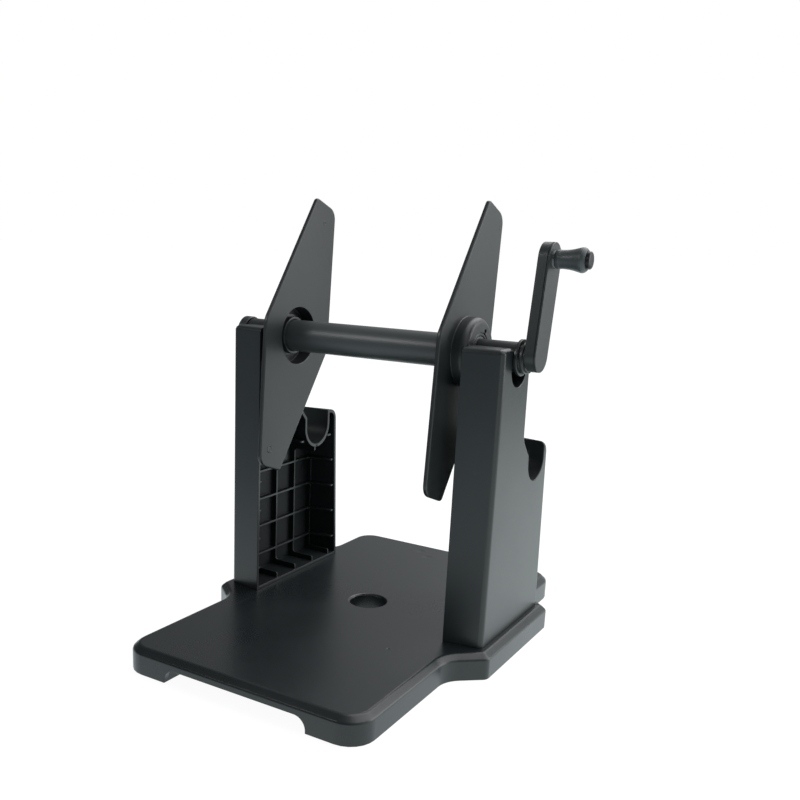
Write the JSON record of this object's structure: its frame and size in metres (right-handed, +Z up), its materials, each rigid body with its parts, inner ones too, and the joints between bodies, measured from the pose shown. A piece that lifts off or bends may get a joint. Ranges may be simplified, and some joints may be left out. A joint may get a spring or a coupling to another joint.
{
  "type": "manual label rewinder",
  "caption": "Bench rewinder for label rolls: moulded base, ribbed uprights with open seats, spindle with sliding flanges, crank arm with a turning knob.",
  "frame": {"origin": "on the axis of the round hole in the base, at the height of the bench", "axes": "+X along the spindle towards the crank, -Y towards the front of the base with the cut-out, +Z up"},
  "size_m": [0.2529, 0.301, 0.3013],
  "materials": {
    "black_plastic": "satin black moulded plastic with a fine grain",
    "flange_plastic": "satin black moulded plastic with a fine grain",
    "crank_plastic": "satin black moulded plastic",
    "tube_plastic": "smooth extruded black plastic",
    "bush_plastic": "plain turned black plastic",
    "rubber": "matt black rubber",
    "steel": "zinc plated",
    "dark_steel": "blackened",
    "brass": "plain"
  },
  "bodies": {
    "stand": {"base_plate": "black_plastic", "rubber_feet": "rubber", "left_upright": "black_plastic", "right_upright": "black_plastic", "upright_screws": "steel"},
    "bearings": {"left_bush": "bush_plastic", "right_bush": "bush_plastic"},
    "spindle": {"stiffener_core": "steel", "spindle_tube": "tube_plastic", "left_end_disc": "crank_plastic", "tie_bolt": "steel", "tie_bolt_washer": "steel", "crank_arm": "crank_plastic", "crank_insert": "brass", "knob_pin": "dark_steel", "pin_push_nut": "steel", "knob_washer": "steel"},
    "crank_knob": {"knob": "crank_plastic"},
    "left_slider": {"left_flange": "flange_plastic", "left_grip_ring": "rubber"},
    "right_slider": {"right_flange": "flange_plastic", "right_grip_ring": "rubber"}
  },
  "joints": [
    {"name": "spindle_lift", "type": "slide", "parent": "stand", "child": "bearings", "axis": [0, 0, 1], "range_m": [0, 0.11]},
    {"name": "crank_turn", "type": "hinge", "parent": "bearings", "child": "spindle", "pos_m": [0, -0.0034, 0.2062], "axis": [1, 0, 0], "continuous": true},
    {"name": "knob_spin", "type": "hinge", "parent": "spindle", "child": "crank_knob", "pos_m": [0.1285, 0.00646, 0.2664], "axis": [1, 0, 0], "continuous": true},
    {"name": "left_flange_slide", "type": "slide", "parent": "spindle", "child": "left_slider", "axis": [1, 0, 0], "range_m": [0, 0.058]},
    {"name": "right_flange_slide", "type": "slide", "parent": "spindle", "child": "right_slider", "axis": [-1, 0, 0], "range_m": [0, 0.058]}
  ]
}
